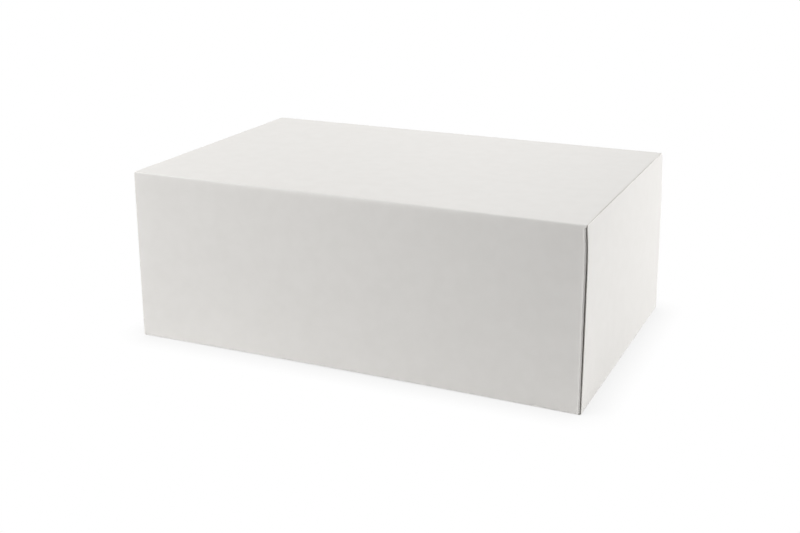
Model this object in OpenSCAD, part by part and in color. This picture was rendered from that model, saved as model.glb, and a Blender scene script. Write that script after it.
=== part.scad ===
// Pastry box: one die-cut blank of white-lined card, folded up and glued at its four corners.
// The tray is the bottom with its walls, the lid turns on the top fold of the hinge wall,
// and the tuck flap on the lid's front edge goes down behind the opening wall.
// X runs along the hinge wall, -Y is the hinge side, +Y is the opening side, Z is up.

/* [Box] */
// Outside length along the hinge wall
length = 320; // [200:1:400]
// Outside depth from the hinge wall to the opening wall
depth = 205; // [140:1:300]
// Outside height of the closed box
height = 120; // [70:1:180]

/* [Board] */
// Thickness of the card
board = 0.5; // [0.35:0.05:0.8]
// Outside radius of every fold
fold_r = 1; // [0.9:0.05:1.6]

/* [Glued corners] */
// Length of each glued corner flap, measured along the side wall
glue_len = 25; // [14:1:40]
// How much lower a corner flap is at its free end, at the top and at the foot
glue_taper = 8; // [2:0.5:14]
// Open slot between a corner fold and the side wall's cut edge
corner_slot = 0.6; // [0.2:0.05:1]
// Length over which a corner flap slants out to the side wall
slot_run = 8; // [4:0.5:12]
// Height of the cut at the top corners on the opening side
corner_cut_h = 3; // [1.6:0.1:8]
// Width of the cut at the side walls' top corners on the opening side
corner_cut_w = 1.6; // [0.5:0.1:5]

/* [Lid] */
// Clearance between the lid's side folds and the side walls
lid_gap = 0.2; // [0.1:0.05:0.5]
// How far the free wall edges lie below the lid's face
wall_drop = 0.3; // [0:0.05:1]
// How far the lid's edge steps in beside the corner flaps
lid_notch = 0.5; // [0.2:0.05:0.9]
// Depth of the lid's side flaps
side_flap_h = 22; // [12:0.5:26]
// Length left free between a side flap and the corner flaps
flap_end_gap = 3; // [2.5:0.5:10]
// Clearance where the lid and the tuck flap turn on their folds
fold_gap = 0.1; // [0.05:0.01:0.2]

/* [Tuck flap] */
// Depth of the tuck flap below its fold
tuck_h = 20; // [12:0.5:22]
// Clearance between the tuck flap's fold and the opening wall
tuck_gap = 0.7; // [0.5:0.05:2]
// How far the tuck flap leans in from upright, in degrees
tuck_lean = 5; // [4:0.5:8]
// Clearance between the tuck flap's ends and the corner folds
tuck_side_gap = 1.5; // [0.8:0.1:6]
// Radius of the tuck flap's lower corners
tuck_corner_r = 9; // [3:0.5:11]

/* [Hidden] */
$fn = 64;
CARD = [0.87, 0.87, 0.84];

// Outside faces and ends of the walls
side_x = length / 2;
wall_y = depth / 2;
// Far end of the long walls, where the corner folds turn in
wall_end_x = side_x - board - corner_slot;
wall_top = height - wall_drop;
// The lid's outside faces
lid_side_x = side_x - board - lid_gap;
lid_edge_x = lid_side_x - lid_notch;
side_flap_y = wall_y - glue_len - flap_end_gap;
tuck_y = wall_y - board - tuck_gap;
tuck_end_x = wall_end_x - fold_r - tuck_side_gap;

// A section drawn across the box's depth and height, run along its length
module along_x(len) {
  rotate([90, 0, 90]) linear_extrude(len, center = true) children();
}

// A section drawn across the box's length and height, run along its depth
module along_y(len) {
  rotate([90, 0, 0]) linear_extrude(len, center = true) children();
}

// Quarter ring of card that rounds a fold, with its outside corner at the origin
module fold_ring() {
  intersection() {
    translate([fold_r, fold_r]) difference() {
      circle(fold_r);
      circle(fold_r - board);
    }
    square(fold_r);
  }
}

// A fold with one upright panel on it, which ends at the height top
module fold_and_panel(top) {
  fold_ring();
  translate([0, fold_r]) square([board, top - fold_r]);
}

// Plan of one corner: the fold in from a long wall and the flap glued behind the side wall.
// The long wall's end is at the origin, the wall lies towards -X and the flap runs along +Y.
module corner_plan() {
  mirror([1, 0]) fold_ring();
  polygon([
    [0, fold_r],
    [corner_slot, slot_run],
    [corner_slot, glue_len],
    [corner_slot - board, glue_len],
    [corner_slot - board, slot_run],
    [-board, fold_r]
  ]);
}

// Side outline of a corner flap, tapered towards its free end
module corner_outline(top) {
  polygon([
    [0, fold_r],
    [fold_r, fold_r],
    [glue_len, fold_r + glue_taper],
    [glue_len, top - glue_taper],
    [fold_r, top],
    [0, top]
  ]);
}

// One glued corner flap with its fold, at the hinge side and +X; top is its height at the fold
module corner_flap(top) {
  intersection() {
    translate([wall_end_x, -wall_y, 0]) linear_extrude(top) corner_plan();
    translate([wall_end_x, -wall_y, 0]) along_x(2 * glue_len) corner_outline(top);
  }
}

// Bottom panel up to where its folds start
module bottom() {
  panel = [2 * (side_x - fold_r), 2 * (wall_y - fold_r), board];
  translate([-panel.x / 2, -panel.y / 2, 0]) cube(panel);
}

// Hinge wall: foot fold, panel and the fold over to the lid
module hinge_wall() {
  along_x(2 * wall_end_x) translate([-wall_y, 0]) fold_ring();
  along_x(2 * wall_end_x) translate([-wall_y, height]) mirror([0, 1]) fold_ring();
  along_x(2 * (wall_end_x - fold_r)) translate([-wall_y, fold_r]) square([board, height - 2 * fold_r]);
}

// Opening wall: foot fold and a panel with a free top edge
module opening_wall() {
  along_x(2 * wall_end_x) translate([wall_y, 0]) mirror([1, 0]) fold_ring();
  along_x(2 * (wall_end_x - fold_r)) translate([wall_y - board, fold_r]) square([board, wall_top - fold_r]);
}

// Side wall at +X, with its top corner cut off on the opening side
module side_wall() {
  difference() {
    along_y(depth) translate([side_x, 0]) mirror([1, 0]) fold_and_panel(wall_top);
    translate([side_x, wall_y, wall_top]) along_x(4 * fold_r) polygon([
      [-corner_cut_w, 0],
      [-corner_cut_w, fold_r],
      [fold_r, fold_r],
      [fold_r, -corner_cut_h],
      [0, -corner_cut_h]
    ]);
  }
}

// The glued tray, one folded piece of card
module tray() {
  color(CARD) union() {
    bottom();
    hinge_wall();
    opening_wall();
    for (side = [0, 1]) mirror([side, 0, 0]) {
      side_wall();
      corner_flap(height - fold_r);
      mirror([0, 1, 0]) corner_flap(height - corner_cut_h);
    }
  }
}

// Lid panel with its side flaps and the fold for the tuck flap
module lid() {
  hinge_y = -wall_y + fold_r + fold_gap;
  front_y = tuck_y - fold_r;
  color(CARD) union() {
    translate([fold_r - lid_side_x, hinge_y, height - board])
      cube([2 * (lid_side_x - fold_r), front_y - hinge_y, board]);
    along_x(2 * tuck_end_x) translate([tuck_y, height]) mirror([1, 0]) mirror([0, 1]) fold_ring();
    for (side = [0, 1]) mirror([side, 0, 0]) {
      along_y(2 * side_flap_y) translate([lid_side_x, height]) mirror([1, 0]) mirror([0, 1])
        fold_and_panel(side_flap_h);
      for (strip = [[hinge_y, -side_flap_y], [side_flap_y, front_y]])
        translate([lid_side_x - fold_r, strip[0], height - board])
          cube([lid_edge_x - lid_side_x + fold_r, strip[1] - strip[0], board]);
    }
  }
}

// Outline of the tuck flap, hanging from its fold at the origin, with round lower corners
module tuck_outline() {
  half = tuck_end_x;
  translate([-half, tuck_corner_r - tuck_h]) square([2 * half, tuck_h - tuck_corner_r - fold_gap]);
  translate([tuck_corner_r - half, -tuck_h]) square([2 * (half - tuck_corner_r), tuck_h - fold_gap]);
  for (side = [-1, 1])
    translate([side * (half - tuck_corner_r), tuck_corner_r - tuck_h]) circle(tuck_corner_r);
}

// Tuck flap, leaning in from the outside corner of its fold
module tuck_flap() {
  color(CARD) translate([0, tuck_y, height - fold_r]) rotate([-tuck_lean, 0, 0])
    rotate([90, 0, 0]) linear_extrude(board) tuck_outline();
}

tray();
lid();
tuck_flap();
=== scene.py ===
"""Pastry box of white-lined card, dressed around its CAD frame.

The box is one folded blank. Its card is modelled as three pieces of sheet: the glued tray, the lid with the
fold that joins it to the hinge wall, and the tuck flap with the fold that joins it to the lid.
"""

import logging
import math
from dataclasses import dataclass
from enum import Enum
from typing import Callable, Iterable, Sequence

import bmesh
import bpy
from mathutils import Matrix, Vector


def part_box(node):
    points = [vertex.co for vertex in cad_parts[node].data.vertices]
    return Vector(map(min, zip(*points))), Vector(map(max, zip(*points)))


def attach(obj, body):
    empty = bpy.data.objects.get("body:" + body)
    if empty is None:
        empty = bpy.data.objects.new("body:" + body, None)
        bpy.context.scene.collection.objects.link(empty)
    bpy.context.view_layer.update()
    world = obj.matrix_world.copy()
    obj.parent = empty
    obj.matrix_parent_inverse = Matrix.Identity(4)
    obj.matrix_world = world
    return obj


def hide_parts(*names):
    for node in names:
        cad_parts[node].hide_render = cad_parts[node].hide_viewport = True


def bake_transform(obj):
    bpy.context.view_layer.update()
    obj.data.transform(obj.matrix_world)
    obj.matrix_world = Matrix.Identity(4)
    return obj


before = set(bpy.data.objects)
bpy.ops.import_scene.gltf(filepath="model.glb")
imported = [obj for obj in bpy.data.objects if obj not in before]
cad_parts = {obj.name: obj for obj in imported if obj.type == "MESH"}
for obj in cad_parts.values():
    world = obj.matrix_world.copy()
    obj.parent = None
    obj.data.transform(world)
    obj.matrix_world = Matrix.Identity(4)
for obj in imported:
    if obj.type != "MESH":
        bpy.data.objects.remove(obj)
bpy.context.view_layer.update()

MM = 0.001
NEAR = 1e-6
FOLD_REACHES = [1.5 * MM, 2.0 * MM, 2.8 * MM, 4.0 * MM, 5.5 * MM, 7.5 * MM, 11 * MM]
SEAM_STRIP = 0.05 * MM
CUTS_ACROSS = 31
CUTS_ALONG = 20
CUTS_UP = 15
SHARP_ANGLE = math.radians(40)

log = logging.getLogger("pastry_box")


class Side(Enum):
    """The faces of a sheet of card, in the order of its material slots."""

    OUTSIDE = 0
    INSIDE = 1
    CUT_EDGE = 2


@dataclass(frozen=True)
class Card:
    """The board that the blank is cut from.

    Attributes:
        thickness: The board's thickness.
        fold_radius: Radius of a fold on its outside.
        fold_steps: Faces round a quarter turn of a fold.
        glue_line: Thickness of the glue between two layers.
    """

    thickness: float = 0.5 * MM
    fold_radius: float = 1.0 * MM
    fold_steps: int = 8
    glue_line: float = 0.02 * MM


@dataclass(frozen=True)
class CornerFold:
    """One upright corner, where a long wall's end turns in behind a side wall.

    Attributes:
        radius: Outside radius of the fold.
        slot: Open slot between the fold and the side wall.
        setback: How far the side wall's cut end lies behind the long wall's outside face.
    """

    radius: float
    slot: float
    setback: float


@dataclass(frozen=True)
class BoxPlan:
    """The leading planes of the folded box, taken from the frame, and the cuts in the blank.

    Attributes:
        side_x: Outside face of the side walls.
        wall_y: Outside face of the hinge wall and of the opening wall.
        height: Outside face of the lid.
        lid_x: Outside face of the lid's side flaps.
        lid_foot: Lower edge of the lid's side flaps.
        tuck_x: Half the width of the tuck flap.
        tuck_y: Outside face of the tuck flap's fold.
        left_drop: How far the left side wall's top edge lies below the lid's face.
        right_drop: The same at the right side wall, which stands level with the lid.
        front_drop: The same at the opening wall.
        open_corner: Fold of the corner that stands open.
        shut_corner: Fold of the other three, which are pressed shut.
        slot_run: Length over which a corner flap slants out to the side wall.
        glue_len: Length of a corner flap.
        glue_taper: How much narrower a corner flap is at each end.
        corner_cut: Width and height of the cut at the side walls' top corners on the opening side.
        flap_drop: How far the corner flaps at the opening side end below the lid's face.
        lid_notch: Step in the lid's edge beside the corner flaps.
        side_flap_y: Half the length of the lid's side flaps.
        tuck_depth: Depth of the tuck flap below its fold.
        tuck_lean: How far the tuck flap leans in, in radians.
        tuck_corner: Radius of the tuck flap's lower corners.
    """

    side_x: float
    wall_y: float
    height: float
    lid_x: float
    lid_foot: float
    tuck_x: float
    tuck_y: float
    left_drop: float = 0.8 * MM
    right_drop: float = 0.05 * MM
    front_drop: float = 0.7 * MM
    open_corner: CornerFold = CornerFold(radius=0.8 * MM, slot=0.6 * MM, setback=0.94 * MM)
    shut_corner: CornerFold = CornerFold(radius=0.56 * MM, slot=0.02 * MM, setback=0.45 * MM)
    slot_run: float = 8 * MM
    glue_len: float = 25 * MM
    glue_taper: float = 8 * MM
    corner_cut: tuple[float, float] = (1.6 * MM, 3 * MM)
    flap_drop: float = 1.5 * MM
    lid_notch: float = 0.02 * MM
    side_flap_y: float = 74.5 * MM
    tuck_depth: float = 20 * MM
    tuck_lean: float = math.radians(5)
    tuck_corner: float = 9 * MM

    @classmethod
    def from_frame(cls) -> "BoxPlan":
        """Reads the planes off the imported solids.

        Returns:
            The plan of the folded box.
        """
        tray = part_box("tray")
        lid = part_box("lid")
        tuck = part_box("tuck_flap")
        return cls(
            side_x=tray[1].x,
            wall_y=tray[1].y,
            height=tray[1].z,
            lid_x=lid[1].x,
            lid_foot=lid[0].z,
            tuck_x=tuck[1].x,
            tuck_y=lid[1].y,
        )

    def corner(self, side: int, end: int) -> CornerFold:
        """Returns the fold of one corner: side is 1 at +X, and end is -1 at the hinge wall."""
        return self.open_corner if side > 0 and end < 0 else self.shut_corner

    def side_top(self, side: int) -> float:
        """Returns the height of a side wall's top edge; side is 1 at +X."""
        return self.height - (self.right_drop if side > 0 else self.left_drop)


@dataclass(frozen=True)
class Warp:
    """The slight curves that card takes up once it is folded, the same field for every piece.

    Attributes:
        plan: The plan of the box.
        foot_lift: How far the bottom arches off the table at the middle of the box's length.
        wall_bulge: How far the long walls' folds lie behind their middle.
        side_bulge: How far the right wall's folds lie behind its middle, and the left wall's middle
            behind its folds.
        lid_sag: How far the lid's middle lies below its edges.
        corner_dip: How far the lid's left corner at the hinge dips.
        lean: How far the right side wall leans in at its far top corner.
        near_lean: How far it leans in at its near top corner.
        top_draw: How much further its top is drawn in, in a curve.
        draw_reach: Height of that curve at the near and at the far corner.
        hinge_sink: How far the soft hinge fold draws back from a sharp corner, at mid-length.
        sink_tilt: How much of that goes downwards, for each part that goes inwards.
        hinge_width: Width of that fold on the lid and on the wall.
        lift_fade: Power with which the bottom's lift dies out upwards.
        lid_only: Power that keeps the lid's sag to the lid.
        wall_only: Power that keeps a wall's bow to that wall.
        corner_fade: Power with which the soft fold gets sharp towards the corners.
    """

    plan: BoxPlan
    foot_lift: float = 0.9 * MM
    wall_bulge: float = 0.35 * MM
    side_bulge: float = 0.3 * MM
    lid_sag: float = 0.3 * MM
    corner_dip: float = 0.5 * MM
    lean: float = 1.5 * MM
    near_lean: float = 0.45 * MM
    top_draw: float = 0.9 * MM
    draw_reach: tuple[float, float] = (11 * MM, 24 * MM)
    hinge_sink: float = 0.5 * MM
    sink_tilt: float = 0.4
    hinge_width: tuple[float, float] = (4.5 * MM, 1.7 * MM)
    lift_fade: int = 3
    lid_only: int = 8
    wall_only: int = 6
    corner_fade: int = 3

    def moved(self, point: Vector) -> Vector:
        """Returns where a point of the true box lies on the curved one.

        Args:
            point: A point of the straight box.

        Returns:
            The same point, moved with the card.
        """
        across = min(1.0, abs(point.x) / self.plan.side_x)
        along = max(-1.0, min(1.0, point.y / self.plan.wall_y))
        up = max(0.0, min(1.0, point.z / self.plan.height))
        middle_x = 1 - across**2
        middle_y = 1 - along**2
        far = (1 + along) / 2
        lift = self.foot_lift * middle_x * (1 - up) ** self.lift_fade
        dip = self.corner_dip * max(0.0, -point.x / self.plan.side_x) ** 2 * (1 - far) ** 2
        sag = (self.lid_sag * middle_x * middle_y + dip) * up**self.lid_only
        belly = math.sin(math.pi * up)
        bow = middle_y * belly
        side_draw = self.side_bulge * (1 - bow if point.x > 0 else bow)
        draw_x = math.copysign(side_draw * across**self.wall_only, point.x)
        draw_y = math.copysign(self.wall_bulge * (1 - middle_x * belly) * along**self.wall_only, point.y)
        share = max(0.0, point.x / self.plan.side_x)
        reach = self.draw_reach[0] * (1 - far) + self.draw_reach[1] * far
        curve = self.top_draw * math.exp(-(((self.plan.height - point.z) / reach) ** 2))
        lean = share * (up * (self.lean * far + self.near_lean * (1 - far)) + curve)
        on_lid = abs(point.y + self.plan.wall_y) / self.hinge_width[0]
        on_wall = abs(self.plan.height - point.z) / self.hinge_width[1]
        sink = self.hinge_sink * (1 - across**self.corner_fade) * math.exp(-((on_lid + on_wall) ** 2))
        return point + Vector((-draw_x - lean, sink - draw_y, lift - sag - sink * self.sink_tilt))


class FoldedSheet:
    """A sheet of card that grows panel by panel.

    Its mesh is the card's outside face until solid() is called.
    """

    def __init__(self, card: Card) -> None:
        """Starts an empty sheet.

        Args:
            card: The board that it is made of.
        """
        self.card = card
        self.mesh = bmesh.new()

    def panel(self, low: tuple[float, float], high: tuple[float, float], height: float) -> None:
        """Lays a flat panel to grow from.

        Args:
            low: Its lowest x and y.
            high: Its highest x and y.
            height: Its z.
        """
        made = bmesh.ops.create_grid(self.mesh, x_segments=1, y_segments=1, size=0.5)
        size = (high[0] - low[0], high[1] - low[1], 1)
        middle = ((high[0] + low[0]) / 2, (high[1] + low[1]) / 2, height)
        bmesh.ops.scale(self.mesh, vec=size, verts=made["verts"])
        bmesh.ops.translate(self.mesh, vec=middle, verts=made["verts"])

    def edges(self, test: Callable[[Vector], bool]) -> list[bmesh.types.BMEdge]:
        """Returns the sheet's open edges whose two ends both pass a test."""
        return [e for e in self.mesh.edges if e.is_boundary and all(test(v.co) for v in e.verts)]

    def fold(
        self, edges: Sequence[bmesh.types.BMEdge], pivot: Vector, axis: Vector, angle: float
    ) -> list[bmesh.types.BMEdge]:
        """Grows a rounded fold from some edges.

        Args:
            edges: The edges that the fold starts at.
            pivot: A point on the centre line of the fold.
            axis: Direction of that line.
            angle: How far the card turns, in radians.

        Returns:
            The edges at the fold's far end.
        """
        steps = max(2, round(self.card.fold_steps * abs(angle) / (math.pi / 2)))
        verts = {v for e in edges for v in e.verts}
        made = bmesh.ops.spin(
            self.mesh,
            geom=[*edges, *verts],
            cent=pivot,
            axis=axis,
            angle=angle,
            steps=steps,
            use_merge=False,
        )
        return [e for e in made["geom_last"] if isinstance(e, bmesh.types.BMEdge)]

    def extend(self, edges: Sequence[bmesh.types.BMEdge], step: Vector) -> list[bmesh.types.BMEdge]:
        """Grows a flat panel from some edges.

        Args:
            edges: The edges that the panel starts at.
            step: How far and which way it grows.

        Returns:
            The edges at the panel's far end.
        """
        made = bmesh.ops.extrude_edge_only(self.mesh, edges=list(edges))["geom"]
        verts = [v for v in made if isinstance(v, bmesh.types.BMVert)]
        bmesh.ops.translate(self.mesh, vec=step, verts=verts)
        fresh = set(verts)
        return [e for e in made if isinstance(e, bmesh.types.BMEdge) and fresh.issuperset(e.verts)]

    def cut(self, normal: Vector, places: Iterable[float]) -> None:
        """Cuts lines across every panel, so that it can bend there.

        Args:
            normal: Direction that the cuts stand square to.
            places: Distances of the cuts from the origin.
        """
        for place in places:
            bmesh.ops.bisect_plane(
                self.mesh,
                geom=[*self.mesh.verts, *self.mesh.edges, *self.mesh.faces],
                dist=NEAR,
                plane_co=normal * place,
                plane_no=normal,
            )

    def trim(self, test: Callable[[Vector], bool], point: Vector, normal: Vector) -> None:
        """Cuts off what stands past a plane, on the faces whose middles pass a test.

        Args:
            test: Says whether a face's middle is on the flap that is trimmed.
            point: A point on the plane.
            normal: The plane's normal, which points at the waste.
        """
        faces = [f for f in self.mesh.faces if test(f.calc_center_median())]
        edges = {e for f in faces for e in f.edges}
        verts = {v for f in faces for v in f.verts}
        bmesh.ops.bisect_plane(
            self.mesh,
            geom=[*verts, *edges, *faces],
            dist=NEAR,
            plane_co=point,
            plane_no=normal,
        )
        waste = [
            f
            for f in self.mesh.faces
            if test(f.calc_center_median()) and (f.calc_center_median() - point).dot(normal) > 0
        ]
        bmesh.ops.delete(self.mesh, geom=waste, context="FACES")

    def shape(self, move: Callable[[Vector], Vector]) -> None:
        """Moves every point of the sheet as a function says."""
        for vert in self.mesh.verts:
            vert.co = move(vert.co)

    def face_out(self, outward: Callable[[Vector], Vector]) -> None:
        """Turns the sheet so that its faces point outwards.

        Args:
            outward: Gives the outward direction at the middle of a face.
        """
        bmesh.ops.recalc_face_normals(self.mesh, faces=self.mesh.faces)
        agree = sum(f.normal.dot(outward(f.calc_center_median())) * f.calc_area() for f in self.mesh.faces)
        if agree < 0:
            bmesh.ops.reverse_faces(self.mesh, faces=self.mesh.faces)

    def solid(self, name: str, finishes: Sequence[bpy.types.Material]) -> bpy.types.Object:
        """Gives the sheet its thickness and makes it an object.

        Args:
            name: The object's name.
            finishes: One material for each Side, in order.

        Returns:
            The new object, at the origin.
        """
        data = bpy.data.meshes.new(name)
        self.mesh.to_mesh(data)
        self.mesh.free()
        for finish in finishes:
            data.materials.append(finish)
        board = bpy.data.objects.new(name, data)
        bpy.context.scene.collection.objects.link(board)
        wall = board.modifiers.new("thickness", "SOLIDIFY")
        wall.thickness = self.card.thickness
        wall.offset = -1
        wall.use_even_offset = True
        wall.use_quality_normals = True
        wall.material_offset = Side.INSIDE.value
        wall.material_offset_rim = Side.CUT_EDGE.value
        shaped = board.evaluated_get(bpy.context.evaluated_depsgraph_get())
        thick = bpy.data.meshes.new_from_object(shaped)
        board.modifiers.clear()
        board.data = thick
        bpy.data.meshes.remove(data)
        thick.name = name
        thick.shade_smooth()
        thick.set_sharp_from_angle(angle=SHARP_ANGLE)
        return board


def spaced(low: float, high: float, count: int) -> list[float]:
    """Returns evenly spaced places between two ends, without the ends."""
    return [low + (high - low) * (i + 1) / (count + 1) for i in range(count)]


@dataclass
class Tray:
    """The bottom with its four walls and the four corner flaps glued behind the side walls.

    Attributes:
        plan: The plan of the box.
        card: The board.
        warp: The curves of the folded card.
        seam: Height at which the hinge wall goes over into the lid's piece.
        press: How far the side walls' top edges lean against the lid.
        press_band: Distance from a side wall's outside face up to which the card leans with it.
        curl: How far the free edge at the open corner curls out.
        curl_reach: Length of wall that curls with it.
        bead: Height of the ridge along the open corner's crease.
        bead_width: Half width of that ridge.
        bead_cuts: Places of the cuts beside the crease, in half widths of the ridge.
        top_only: Power that keeps the side walls' lean to their tops.
        foot_only: Power that keeps the curl's counter-bend to the foot.
    """

    plan: BoxPlan
    card: Card
    warp: Warp
    seam: float
    press: float = 0.2 * MM
    press_band: float = 1.05 * MM
    curl: float = 0.14 * MM
    curl_reach: float = 12 * MM
    bead: float = 0.25 * MM
    bead_width: float = 0.5 * MM
    bead_cuts: tuple[float, ...] = (2.4, 1.6, 1.0, 0.5)
    top_only: int = 10
    foot_only: int = 8

    def build(self, finishes: Sequence[bpy.types.Material]) -> bpy.types.Object:
        """Folds the tray.

        Args:
            finishes: One material for each Side, in order.

        Returns:
            The finished piece.
        """
        sheet = FoldedSheet(self.card)
        self._bottom(sheet)
        self._long_walls(sheet)
        self._side_walls(sheet)
        self._corner_flaps(sheet)
        sheet.cut(Vector((1, 0, 0)), spaced(-self.plan.side_x, self.plan.side_x, CUTS_ACROSS))
        sheet.cut(Vector((0, 1, 0)), spaced(-self.plan.wall_y, self.plan.wall_y, CUTS_ALONG))
        sheet.cut(Vector((0, 0, 1)), spaced(0, self.plan.height, CUTS_UP))
        sheet.cut(Vector((0, 0, 1)), [self.plan.height - reach for reach in FOLD_REACHES])
        sheet.cut(Vector((0, 0, 1)), [self.seam - SEAM_STRIP])
        crease = self.corner_x(1, -1)
        sheet.cut(Vector((1, 0, 0)), [crease - share * self.bead_width for share in self.bead_cuts])
        self._trim_corners(sheet)
        sheet.face_out(lambda middle: middle - Vector((0, 0, self.plan.height / 2)))
        sheet.shape(self._curled)
        sheet.shape(self.warp.moved)
        return sheet.solid("tray_board", finishes)

    def corner_x(self, side: int, end: int) -> float:
        """Returns how far out a corner fold starts, for a side and an end as in BoxPlan.corner."""
        corner = self.plan.corner(side, end)
        return self.plan.side_x - self.card.thickness - corner.slot - corner.radius

    def _bottom(self, sheet: FoldedSheet) -> None:
        """Lays the bottom panel and marks where the long walls end."""
        half_x = self.plan.side_x - self.card.fold_radius
        half_y = self.plan.wall_y - self.card.fold_radius
        sheet.panel((-half_x, -half_y), (half_x, half_y), 0)
        starts = {side * self.corner_x(side, end) for side in (-1, 1) for end in (-1, 1)}
        sheet.cut(Vector((1, 0, 0)), sorted(starts))

    def _long_walls(self, sheet: FoldedSheet) -> None:
        """Folds up the hinge wall and the opening wall."""
        radius = self.card.fold_radius
        half_y = self.plan.wall_y - radius
        for side, top in ((-1, self.seam), (1, self.plan.height - self.plan.front_drop)):
            low, high = -self.corner_x(-1, side), self.corner_x(1, side)
            foot = sheet.edges(
                lambda p: abs(p.y - side * half_y) < NEAR and low - NEAR < p.x < high + NEAR
            )
            pivot = Vector((0, side * half_y, radius))
            edge = sheet.fold(foot, pivot, Vector((1, 0, 0)), side * math.pi / 2)
            sheet.extend(edge, Vector((0, 0, top - radius)))

    def _side_walls(self, sheet: FoldedSheet) -> None:
        """Folds up the side walls and lets their ends reach the long walls' outside faces."""
        radius = self.card.fold_radius
        half_x = self.plan.side_x - radius
        half_y = self.plan.wall_y - radius
        for side in (-1, 1):
            foot = sheet.edges(lambda p: abs(p.x - side * half_x) < NEAR)
            pivot = Vector((side * half_x, 0, radius))
            edge = sheet.fold(foot, pivot, Vector((0, 1, 0)), -side * math.pi / 2)
            sheet.extend(edge, Vector((0, 0, self.plan.side_top(side) - radius)))
            for end in (-1, 1):
                ends = sheet.edges(
                    lambda p: side * p.x > half_x - NEAR and abs(p.y - end * half_y) < NEAR
                )
                sheet.extend(ends, Vector((0, end * (radius - self.plan.corner(side, end).setback), 0)))

    def _corner_flaps(self, sheet: FoldedSheet) -> None:
        """Folds a flap in at each end of the long walls and lays it against the side wall."""
        radius = self.card.fold_radius
        for end in (-1, 1):
            wall = end * self.plan.wall_y
            for side in (-1, 1):
                start_x = side * self.corner_x(side, end)
                corner = self.plan.corner(side, end)
                slant_x = corner.slot - self.card.glue_line
                edge = sheet.edges(
                    lambda p: abs(p.x - start_x) < NEAR
                    and abs(p.y - wall) < NEAR
                    and p.z > radius - NEAR
                )
                pivot = Vector((start_x, wall - end * corner.radius, 0))
                fold = sheet.fold(edge, pivot, Vector((0, 0, 1)), -side * end * math.pi / 2)
                run = self.plan.slot_run - corner.radius
                slant = sheet.extend(fold, Vector((side * slant_x, -end * run, 0)))
                rest = self.plan.glue_len - self.plan.slot_run
                sheet.extend(slant, Vector((0, -end * rest, 0)))

    def _trim_corners(self, sheet: FoldedSheet) -> None:
        """Cuts the corner flaps to their taper and the opening side's top corners away."""
        plan = self.plan
        radius = self.card.fold_radius
        cut_w, cut_h = plan.corner_cut
        for end, top in ((-1, self.seam), (1, plan.height - plan.flap_drop)):
            wall = end * plan.wall_y
            start = wall - end * radius

            def on_flap(p: Vector) -> bool:
                """Says whether a point is on one of the corner flaps at this end."""
                inner = self.corner_x(int(math.copysign(1, p.x)), end) < abs(p.x)
                inner = inner and abs(p.x) < plan.side_x - self.card.thickness
                return inner and abs(p.y - wall) < plan.glue_len and p.z > radius

            slope = Vector((0, end * plan.glue_taper, plan.glue_len - radius))
            sheet.trim(on_flap, Vector((0, start, top)), Vector((0, -slope.y, slope.z)))
            sheet.trim(on_flap, Vector((0, start, radius)), Vector((0, -slope.y, -slope.z)))
            if end > 0:
                sheet.trim(on_flap, Vector((0, 0, top)), Vector((0, 0, 1)))

        for side in (-1, 1):

            def on_side(p: Vector) -> bool:
                """Says whether a point is on this side wall near its top corner on the opening side."""
                return side * p.x > plan.side_x - NEAR and p.y > 0 and p.z > plan.height / 2

            corner = Vector((0, plan.wall_y, plan.side_top(side) - cut_h))
            sheet.trim(on_side, corner, Vector((0, cut_h, cut_w)))

    def _curled(self, point: Vector) -> Vector:
        """Presses the side walls' tops against the lid, and curls the open corner's free edge and its crease.

        Args:
            point: A point of the straight tray.

        Returns:
            The point on the curled wall.
        """
        plan = self.plan
        up = point.z / plan.height
        inset = plan.side_x - abs(point.x)
        wall_share = max(0.0, min(1.0, (self.press_band - inset) / self.card.thickness))
        shift = -self.press * wall_share * up**self.top_only
        if point.x > plan.side_x - self.card.thickness / 2 and point.y < 0:
            reach = (plan.wall_y + point.y) / self.curl_reach
            curl = self.curl * (math.sin(math.pi * up) - (1 - up) ** self.foot_only)
            shift += curl * math.exp(-(reach**2))
        ridge = 0.0
        on_hinge_wall = point.y < self.card.thickness - plan.wall_y
        if on_hinge_wall and self.card.fold_radius < point.z < self.seam - MM:
            off = (point.x - self.corner_x(1, -1)) / self.bead_width
            ridge = -self.bead * math.exp(-(off**2))
        return point + Vector((shift * math.copysign(1, point.x), ridge, 0))


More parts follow.
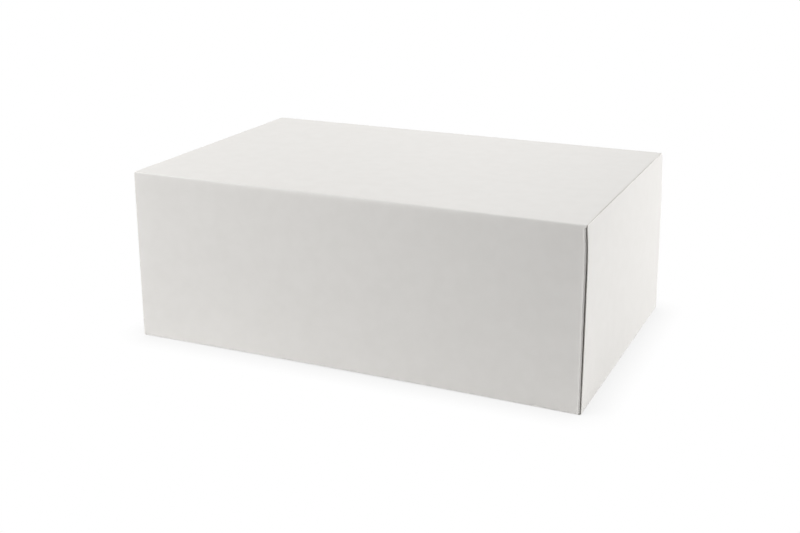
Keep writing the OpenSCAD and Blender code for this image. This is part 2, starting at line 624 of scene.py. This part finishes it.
@dataclass
class Lid:
    """The lid's panel with its side flaps, and the fold that joins it to the hinge wall.

    Attributes:
        plan: The plan of the box.
        card: The board.
        warp: The curves of the folded card.
        seam: Height at which the piece goes over into the hinge wall.
        tuck_seam: Where the panel goes over into the tuck flap's piece.
        side_fold: Outside radius of the tight folds to the side flaps.
    """

    plan: BoxPlan
    card: Card
    warp: Warp
    seam: float
    tuck_seam: float
    side_fold: float = 0.6 * MM

    def build(self, finishes: Sequence[bpy.types.Material]) -> bpy.types.Object:
        """Folds the lid.

        Args:
            finishes: One material for each Side, in order.

        Returns:
            The finished piece.
        """
        plan = self.plan
        radius = self.card.fold_radius
        half_x = plan.lid_x - self.side_fold
        hinge_y = radius - plan.wall_y
        sheet = FoldedSheet(self.card)
        sheet.panel((-half_x, hinge_y), (half_x, self.tuck_seam), plan.height)
        sheet.cut(Vector((0, 1, 0)), (-plan.side_flap_y, plan.side_flap_y))
        for side in (-1, 1):
            self._side_flap(sheet, side)
        edge = sheet.edges(lambda p: abs(p.y - hinge_y) < NEAR)
        pivot = Vector((0, hinge_y, plan.height - radius))
        edge = sheet.fold(edge, pivot, Vector((1, 0, 0)), math.pi / 2)
        sheet.extend(edge, Vector((0, 0, self.seam - plan.height + radius)))
        sheet.cut(Vector((1, 0, 0)), spaced(-plan.side_x, plan.side_x, CUTS_ACROSS))
        sheet.cut(Vector((0, 1, 0)), spaced(-plan.wall_y, plan.wall_y, CUTS_ALONG))
        sheet.cut(Vector((0, 1, 0)), [reach - plan.wall_y for reach in FOLD_REACHES])
        sheet.cut(Vector((0, 0, 1)), [self.seam + SEAM_STRIP])
        sheet.face_out(lambda middle: middle - Vector((0, 0, plan.height / 2)))
        sheet.shape(self.warp.moved)
        return sheet.solid("lid_board", finishes)

    def _side_flap(self, sheet: FoldedSheet, side: int) -> None:
        """Folds a side flap down and steps the panel's edge beside it.

        Args:
            sheet: The lid so far.
            side: 1 for the flap at +X and -1 for the other.
        """
        plan = self.plan
        radius = self.side_fold
        half_x = plan.lid_x - radius
        for end in (-1, 1):
            beside = sheet.edges(
                lambda p: abs(p.x - side * half_x) < NEAR and end * p.y > plan.side_flap_y - NEAR
            )
            sheet.extend(beside, Vector((side * (radius - plan.lid_notch), 0, 0)))
        edge = sheet.edges(
            lambda p: abs(p.x - side * half_x) < NEAR and abs(p.y) < plan.side_flap_y + NEAR
        )
        pivot = Vector((side * half_x, 0, plan.height - radius))
        edge = sheet.fold(edge, pivot, Vector((0, 1, 0)), side * math.pi / 2)
        sheet.extend(edge, Vector((0, 0, plan.lid_foot - plan.height + radius)))


@dataclass
class TuckFlap:
    """The tuck flap and the fold that joins it to the lid's front edge.

    Attributes:
        plan: The plan of the box.
        card: The board.
        warp: The curves of the folded card.
        seam: Where the piece goes over into the lid's panel.
        corner_steps: Steps of each rounded lower corner.
    """

    plan: BoxPlan
    card: Card
    warp: Warp
    seam: float
    corner_steps: int = 10

    def build(self, finishes: Sequence[bpy.types.Material]) -> bpy.types.Object:
        """Folds the tuck flap.

        Args:
            finishes: One material for each Side, in order.

        Returns:
            The finished piece.
        """
        plan = self.plan
        radius = self.card.fold_radius
        fold_y = plan.tuck_y - radius
        sheet = FoldedSheet(self.card)
        sheet.panel((-plan.tuck_x, self.seam), (plan.tuck_x, fold_y), plan.height)
        edge = sheet.edges(lambda p: abs(p.y - fold_y) < NEAR)
        pivot = Vector((0, fold_y, plan.height - radius))
        edge = sheet.fold(edge, pivot, Vector((1, 0, 0)), -math.pi / 2 - plan.tuck_lean)
        down = Vector((0, -math.sin(plan.tuck_lean), -math.cos(plan.tuck_lean)))
        corner = plan.tuck_corner
        edge = sheet.extend(edge, down * (plan.tuck_depth - corner))
        reached = 0.0
        for step in range(1, self.corner_steps + 1):
            turn = math.pi / 2 * step / self.corner_steps
            depth = corner * math.sin(turn)
            edge = sheet.extend(edge, down * (depth - reached))
            reached = depth
            width = plan.tuck_x - corner * (1 - math.cos(turn))
            scale = width / max(abs(v.co.x) for e in edge for v in e.verts)
            bmesh.ops.scale(sheet.mesh, vec=(scale, 1, 1), verts=list({v for e in edge for v in e.verts}))
        sheet.cut(Vector((1, 0, 0)), spaced(-plan.side_x, plan.side_x, CUTS_ACROSS))
        sheet.face_out(lambda middle: middle - Vector((0, 0, plan.height - plan.tuck_depth)))
        sheet.shape(self.warp.moved)
        return sheet.solid("tuck_board", finishes)


class Recipe:
    """Writes the nodes of one material, with short calls for the few kinds that card needs."""

    def __init__(self, name: str) -> None:
        """Starts a material with a bare Principled shader.

        Args:
            name: The material's name.
        """
        self.material = bpy.data.materials.new(name)
        self.material.use_nodes = True
        self.tree = self.material.node_tree
        self.shader = self.tree.nodes["Principled BSDF"]
        self.place = self.tree.nodes.new("ShaderNodeTexCoord").outputs["Object"]

    def link(self, source: bpy.types.NodeSocket, target: bpy.types.NodeSocket) -> None:
        """Joins two sockets."""
        self.tree.links.new(source, target)

    def noise(
        self, size: float, detail: float, stretch: Sequence[float] = (1, 1, 1)
    ) -> bpy.types.NodeSocket:
        """Adds a noise whose grains measure about a given size.

        Args:
            size: The grains' size.
            detail: How many finer layers it holds.
            stretch: How much longer the grains are along each axis.

        Returns:
            The noise's value socket.
        """
        mapping = self.tree.nodes.new("ShaderNodeMapping")
        mapping.inputs["Scale"].default_value = [1 / (size * s) for s in stretch]
        noise = self.tree.nodes.new("ShaderNodeTexNoise")
        noise.inputs["Scale"].default_value = 1.0
        noise.inputs["Detail"].default_value = detail
        self.link(self.place, mapping.inputs["Vector"])
        self.link(mapping.outputs["Vector"], noise.inputs["Vector"])
        return noise.outputs["Fac"]

    def ramp(
        self, value: bpy.types.NodeSocket, stops: Sequence[tuple[float, Sequence[float]]]
    ) -> bpy.types.NodeSocket:
        """Adds a colour ramp.

        Args:
            value: The socket that drives it.
            stops: Place and colour of each stop, in order.

        Returns:
            The colour socket.
        """
        ramp = self.tree.nodes.new("ShaderNodeValToRGB")
        band = ramp.color_ramp
        for _ in range(len(stops) - 2):
            band.elements.new(0.5)
        for element, (place, colour) in zip(band.elements, stops):
            element.position = place
            element.color = (*colour, 1)
        self.link(value, ramp.inputs["Fac"])
        return ramp.outputs["Color"]

    def mix(
        self, fac: bpy.types.NodeSocket, low: bpy.types.NodeSocket, high: bpy.types.NodeSocket
    ) -> bpy.types.NodeSocket:
        """Mixes two colours.

        Args:
            fac: Share of the second colour.
            low: The first colour.
            high: The second colour.

        Returns:
            The mixed colour.
        """
        mix = self.tree.nodes.new("ShaderNodeMix")
        mix.data_type = "RGBA"
        self.link(fac, mix.inputs["Factor"])
        self.link(low, mix.inputs["A"])
        self.link(high, mix.inputs["B"])
        return mix.outputs["Result"]

    def bump(self, height: bpy.types.NodeSocket, depth: float) -> None:
        """Adds a bump on top of those already there.

        Args:
            height: The socket that gives the height.
            depth: What a height of 1 measures.
        """
        bump = self.tree.nodes.new("ShaderNodeBump")
        bump.inputs["Distance"].default_value = depth
        bump.inputs["Strength"].default_value = 1.0
        self.link(height, bump.inputs["Height"])
        normal = self.shader.inputs["Normal"]
        if normal.is_linked:
            self.link(normal.links[0].from_socket, bump.inputs["Normal"])
        self.link(bump.outputs["Normal"], normal)


@dataclass(frozen=True)
class CoatedLining:
    """The white clay-coated outside of the board.

    Attributes:
        light: Colour of the coating where it lies thick.
        shade: Colour where the fibres show through a little.
        roughness: Roughness of the matt coating.
        specular: Strength of its sheen.
        cloud: Size of the board's cloudy formation.
        cloud_depth: Relief of that formation.
        grain: Size of the coating's finest grain.
        grain_depth: Relief of that grain.
        spread: Noise levels at which shade and light begin.
    """

    light: tuple[float, float, float] = (0.805, 0.789, 0.764)
    shade: tuple[float, float, float] = (0.790, 0.774, 0.748)
    roughness: float = 0.52
    specular: float = 0.35
    cloud: float = 9 * MM
    cloud_depth: float = 0.012 * MM
    grain: float = 0.35 * MM
    grain_depth: float = 0.008 * MM
    spread: tuple[float, float] = (0.35, 0.65)

    def material(self) -> bpy.types.Material:
        """Returns the material of the outside face."""
        recipe = Recipe("coated_lining")
        cloud = recipe.noise(self.cloud, detail=4)
        colour = recipe.ramp(cloud, ((self.spread[0], self.shade), (self.spread[1], self.light)))
        recipe.link(colour, recipe.shader.inputs["Base Color"])
        recipe.shader.inputs["Roughness"].default_value = self.roughness
        recipe.shader.inputs["Specular IOR Level"].default_value = self.specular
        recipe.bump(recipe.noise(self.grain, detail=3), self.grain_depth)
        recipe.bump(recipe.noise(self.cloud, detail=2, stretch=(2, 1, 1)), self.cloud_depth)
        return recipe.material


@dataclass(frozen=True)
class GreyBack:
    """The uncoated grey-beige inside of the board, with the flecks of its recycled fibres.

    Attributes:
        light: Its lighter colour.
        shade: Its darker colour.
        fleck: Colour of the dark flecks.
        roughness: Roughness of the bare board.
        specular: Strength of its sheen.
        cloud: Size of the board's cloudy formation.
        spread: Noise levels at which shade and light begin.
        fibre: Size of the fibres.
        fibre_depth: Relief of the fibres.
        fleck_spread: Noise levels at which a fleck begins and is whole.
        fleck_share: How much of its colour a whole fleck shows.
    """

    light: tuple[float, float, float] = (0.46, 0.405, 0.325)
    shade: tuple[float, float, float] = (0.40, 0.35, 0.275)
    fleck: tuple[float, float, float] = (0.17, 0.145, 0.115)
    roughness: float = 0.88
    specular: float = 0.2
    cloud: float = 4 * MM
    spread: tuple[float, float] = (0.32, 0.68)
    fibre: float = 0.5 * MM
    fibre_depth: float = 0.05 * MM
    fleck_spread: tuple[float, float] = (0.68, 0.78)
    fleck_share: float = 0.5

    def material(self) -> bpy.types.Material:
        """Returns the material of the inside face."""
        recipe = Recipe("grey_back")
        cloud = recipe.noise(self.cloud, detail=5)
        body = recipe.ramp(cloud, ((self.spread[0], self.shade), (self.spread[1], self.light)))
        specks = recipe.noise(self.fibre, detail=2, stretch=(3, 1.4, 1))
        fleck = recipe.ramp(specks, ((0.0, self.fleck), (1.0, self.fleck)))
        begin, whole = self.fleck_spread
        share = recipe.ramp(specks, ((begin, (0, 0, 0)), (whole, [self.fleck_share] * 3)))
        colour = recipe.mix(share, body, fleck)
        recipe.link(colour, recipe.shader.inputs["Base Color"])
        recipe.shader.inputs["Roughness"].default_value = self.roughness
        recipe.shader.inputs["Specular IOR Level"].default_value = self.specular
        recipe.bump(recipe.noise(self.fibre, detail=4, stretch=(2.5, 1, 1)), self.fibre_depth)
        return recipe.material


@dataclass(frozen=True)
class CutEdge:
    """The die-cut edge of the board, where its grey core shows between the two faces.

    Attributes:
        core: Colour of the core.
        lining: Colour where the white lining is dragged over the edge.
        roughness: Roughness of the cut.
        specular: Strength of its sheen.
        layer: Thickness of the core's layers.
        layer_depth: Relief of the layers.
        spread: Noise levels at which core and lining begin.
    """

    core: tuple[float, float, float] = (0.74, 0.715, 0.67)
    lining: tuple[float, float, float] = (0.80, 0.785, 0.755)
    roughness: float = 0.9
    specular: float = 0.15
    layer: float = 0.25 * MM
    layer_depth: float = 0.05 * MM
    spread: tuple[float, float] = (0.38, 0.66)

    def material(self) -> bpy.types.Material:
        """Returns the material of the cut edge."""
        recipe = Recipe("cut_edge")
        layers = recipe.noise(self.layer, detail=4)
        colour = recipe.ramp(layers, ((self.spread[0], self.core), (self.spread[1], self.lining)))
        recipe.link(colour, recipe.shader.inputs["Base Color"])
        recipe.shader.inputs["Roughness"].default_value = self.roughness
        recipe.shader.inputs["Specular IOR Level"].default_value = self.specular
        recipe.bump(layers, self.layer_depth)
        return recipe.material


@dataclass(frozen=True)
class Lamp:
    """A soft box of the studio.

    Attributes:
        name: The lamp's name.
        place: Where it stands.
        size: Its width and height.
        power: Its power in watts.
        target: What it points at.
    """

    name: str
    place: tuple[float, float, float]
    size: tuple[float, float]
    power: float
    target: tuple[float, float, float] = (0, 0, 0.06)

    def build(self) -> None:
        """Hangs the lamp."""
        data = bpy.data.lights.new(self.name, "AREA")
        data.shape = "RECTANGLE"
        data.size, data.size_y = self.size
        data.energy = self.power
        lamp = bpy.data.objects.new(self.name, data)
        lamp.location = self.place
        aim = Vector(self.target) - Vector(self.place)
        lamp.rotation_euler = aim.to_track_quat("-Z", "Y").to_euler()
        bpy.context.scene.collection.objects.link(lamp)


@dataclass(frozen=True)
class Studio:
    """The white ground, the soft light and the camera.

    Attributes:
        ambient: Strength of the even light from all round.
        ground: Colour of the ground as the box sees it.
        ground_low: The ground sheet's lowest x and y.
        ground_high: The ground sheet's highest x and y.
        ground_drop: How far it lies below the box, so that the two never share a plane.
        contact: Depth of the painted contact shade: how much darker the ground's emitted white is made where
            it is wholly shut in.
        contact_reach: How far from the box that painted shade reaches.
        contact_samples: Rays that find it.
        shade_share: Share of the ground's real shade that the camera sees right beside the box.
        shade_clear: Light level of the ground at which the camera sees it pure white.
        shade_reach: Distance from the box at which that share has faded to nothing.
        footprint: Half the length and depth of the box on the ground.
        sensor: Width of the camera's sensor in millimetres.
        lens: The camera's focal length in millimetres.
        eye: Where the camera stands.
        azimuth: How far it stands round from the hinge side, in degrees.
        elevation: How far it looks down, in degrees.
        shift_y: How far the frame is moved from the lens's axis.
        lamps: The soft boxes.
    """

    ambient: float = 0.053
    ground: tuple[float, float, float] = (0.92, 0.92, 0.92)
    ground_low: tuple[float, float] = (-0.65, -0.50)
    ground_high: tuple[float, float] = (0.65, 0.80)
    ground_drop: float = 0.05 * MM
    contact: float = 0.20
    contact_reach: float = 22 * MM
    contact_samples: int = 16
    shade_share: float = 0.05
    shade_clear: float = 0.85
    shade_reach: float = 22 * MM
    footprint: tuple[float, float] = (0.16, 0.1025)
    sensor: float = 36
    lens: float = 53.28
    eye: tuple[float, float, float] = (0.32863, -0.74319, 0.31524)
    azimuth: float = 24.274
    elevation: float = 16.636
    shift_y: float = -0.0504
    lamps: tuple[Lamp, ...] = (
        Lamp("key_left_high", (-0.80, -0.70, 1.20), (0.8, 0.8), 16.7),
        Lamp("fill_left", (-0.80, -0.75, 0.60), (0.6, 0.6), 3.45),
        Lamp("right_low", (1.20, 0.50, 0.30), (0.8, 0.5), 11.25),
        Lamp("back_near", (0.00, 0.50, 0.60), (0.5, 0.3), 1.6),
    )

    def build(self) -> None:
        """Sets up the ground, the world, the lamps and the camera."""
        self._ground()
        self._world()
        for lamp in self.lamps:
            lamp.build()
        self._camera()
        bpy.context.scene.view_settings.view_transform = "Standard"

    def _ground(self) -> None:
        """Lays the white ground."""
        mesh = bmesh.new()
        bmesh.ops.create_grid(mesh, x_segments=1, y_segments=1, size=0.5)
        low, high = Vector(self.ground_low), Vector(self.ground_high)
        bmesh.ops.scale(mesh, vec=(high - low).to_3d(), verts=mesh.verts)
        middle = (high + low) / 2
        bmesh.ops.translate(mesh, vec=(middle.x, middle.y, -self.ground_drop), verts=mesh.verts)
        data = bpy.data.meshes.new("ground")
        mesh.to_mesh(data)
        mesh.free()
        data.materials.append(self._ground_material())
        ground = bpy.data.objects.new("ground", data)
        bpy.context.scene.collection.objects.link(ground)

    def _ground_material(self) -> bpy.types.Material:
        """Returns the ground's white, which shows the camera a painted contact shade near the box and only a
        part of its real shade.
        """
        material = bpy.data.materials.new("ground")
        material.use_nodes = True
        tree = material.node_tree
        tree.nodes.clear()
        output = tree.nodes.new("ShaderNodeOutputMaterial")
        bounce = tree.nodes.new("ShaderNodeBsdfDiffuse")
        bounce.inputs["Color"].default_value = (*self.ground, 1)
        # The camera's white is an emission whose strength carries the painted contact shade.
        white = tree.nodes.new("ShaderNodeEmission")
        tree.links.new(self._painted_contact_shade(tree), white.inputs["Strength"])
        shaded = tree.nodes.new("ShaderNodeBsdfDiffuse")
        shaded.inputs["Color"].default_value = (1, 1, 1, 1)
        lifted = tree.nodes.new("ShaderNodeAddShader")
        glow = tree.nodes.new("ShaderNodeEmission")
        glow.inputs["Strength"].default_value = 1 - self.shade_clear
        tree.links.new(shaded.outputs["BSDF"], lifted.inputs[0])
        tree.links.new(glow.outputs["Emission"], lifted.inputs[1])
        seen = tree.nodes.new("ShaderNodeMixShader")
        tree.links.new(self._shade_fade(tree), seen.inputs["Fac"])
        both = tree.nodes.new("ShaderNodeMixShader")
        tree.links.new(white.outputs["Emission"], seen.inputs[1])
        tree.links.new(lifted.outputs["Shader"], seen.inputs[2])
        tree.links.new(self._looked_at(tree), both.inputs["Fac"])
        tree.links.new(bounce.outputs["BSDF"], both.inputs[1])
        tree.links.new(seen.outputs["Shader"], both.inputs[2])
        tree.links.new(both.outputs["Shader"], output.inputs["Surface"])
        return material

    def _looked_at(self, tree: bpy.types.NodeTree) -> bpy.types.NodeSocket:
        """Adds a value that is 1 where the camera looks, straight or by a mirror or glass, and else 0.

        Args:
            tree: The node tree that it is added to.

        Returns:
            The socket that gives the value.
        """
        path = tree.nodes.new("ShaderNodeLightPath")
        total = path.outputs["Is Camera Ray"]
        for kind in ("Is Glossy Ray", "Is Transmission Ray"):
            add = tree.nodes.new("ShaderNodeMath")
            add.operation = "MAXIMUM"
            tree.links.new(total, add.inputs[0])
            tree.links.new(path.outputs[kind], add.inputs[1])
            total = add.outputs["Value"]
        return total

    def _painted_contact_shade(self, tree: bpy.types.NodeTree) -> bpy.types.NodeSocket:
        """Adds the painted contact shade: the strength of the ground's emitted white, darkened by ambient
        occlusion where the box beside it shuts it in.

        Args:
            tree: The ground's node tree.

        Returns:
            The socket that gives the emission's strength, with the painted shade.
        """
        around = tree.nodes.new("ShaderNodeAmbientOcclusion")
        around.samples = self.contact_samples
        around.inputs["Distance"].default_value = self.contact_reach
        level = tree.nodes.new("ShaderNodeMapRange")
        level.inputs["To Min"].default_value = 1 - self.contact
        level.inputs["To Max"].default_value = 1.0
        tree.links.new(around.outputs["AO"], level.inputs["Value"])
        return level.outputs["Result"]

    def _shade_fade(self, tree: bpy.types.NodeTree) -> bpy.types.NodeSocket:
        """Adds the share of the ground's shade that is seen, which fades with the distance from the box.

        Args:
            tree: The ground's node tree.

        Returns:
            The socket that gives the share.
        """
        source = tree.nodes.new("ShaderNodeTexCoord").outputs["Object"]
        for operation, other in (("ABSOLUTE", (0, 0)), ("SUBTRACT", self.footprint), ("MAXIMUM", (0, 0))):
            step = tree.nodes.new("ShaderNodeVectorMath")
            step.operation = operation
            step.inputs[1].default_value = (*other, 0)
            tree.links.new(source, step.inputs[0])
            source = step.outputs["Vector"]
        length = tree.nodes.new("ShaderNodeVectorMath")
        length.operation = "LENGTH"
        tree.links.new(source, length.inputs[0])
        fade = tree.nodes.new("ShaderNodeMapRange")
        fade.inputs["From Min"].default_value = 0.0
        fade.inputs["From Max"].default_value = self.shade_reach
        fade.inputs["To Min"].default_value = self.shade_share
        fade.inputs["To Max"].default_value = 0.0
        tree.links.new(length.outputs["Value"], fade.inputs["Value"])
        return fade.outputs["Result"]

    def _world(self) -> None:
        """Makes the surround white to the camera and an even soft light to the box."""
        world = bpy.data.worlds.new("surround")
        world.use_nodes = True
        tree = world.node_tree
        tree.nodes.clear()
        output = tree.nodes.new("ShaderNodeOutputWorld")
        light = tree.nodes.new("ShaderNodeBackground")
        light.inputs["Strength"].default_value = self.ambient
        white = tree.nodes.new("ShaderNodeBackground")
        for background in (light, white):
            background.inputs["Color"].default_value = (1, 1, 1, 1)
        both = tree.nodes.new("ShaderNodeMixShader")
        tree.links.new(self._looked_at(tree), both.inputs["Fac"])
        tree.links.new(light.outputs["Background"], both.inputs[1])
        tree.links.new(white.outputs["Background"], both.inputs[2])
        tree.links.new(both.outputs["Shader"], output.inputs["Surface"])
        bpy.context.scene.world = world

    def _camera(self) -> None:
        """Sets the camera where the photo was taken from."""
        data = bpy.data.cameras.new("camera")
        data.sensor_width = self.sensor
        data.lens = self.lens
        data.shift_y = self.shift_y
        camera = bpy.data.objects.new("camera", data)
        azimuth = math.radians(self.azimuth)
        elevation = math.radians(self.elevation)
        camera.location = self.eye
        camera.rotation_euler = (math.pi / 2 - elevation, 0, azimuth)
        bpy.context.scene.collection.objects.link(camera)
        bpy.context.scene.camera = camera


@dataclass
class PastryBox:
    """The whole box, with the tray's piece of card placed on its body.

    Attributes:
        plan: The plan of the box.
        card: The board.
        warp: The curves of the folded card.
        lead: Flat stretch of card beside a turning fold that goes with it.
    """

    plan: BoxPlan
    card: Card
    warp: Warp
    lead: float = 0.4 * MM

    def build(self) -> None:
        """Builds the three pieces and lets the tray follow the frame."""
        plan = self.plan
        radius = self.card.fold_radius
        finishes = [CoatedLining().material(), GreyBack().material(), CutEdge().material()]
        seam = plan.height - radius - self.lead
        tuck_seam = plan.tuck_y - radius - self.lead

        tray = Tray(plan, self.card, self.warp, seam).build(finishes)
        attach(tray, "tray")
        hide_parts("tray")

        lid = Lid(plan, self.card, self.warp, seam, tuck_seam).build(finishes)
        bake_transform(lid)
        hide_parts("lid")

        tuck = TuckFlap(plan, self.card, self.warp, tuck_seam).build(finishes)
        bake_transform(tuck)
        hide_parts("tuck_flap")

        for piece in (tray, lid, tuck):
            log.info("%s has %d faces", piece.name, len(piece.data.polygons))


def main() -> None:
    """Builds the box and the studio round it."""
    logging.basicConfig(level=logging.INFO)
    plan = BoxPlan.from_frame()
    Studio().build()
    PastryBox(plan, Card(), Warp(plan)).build()


if __name__ == "__main__":
    main()
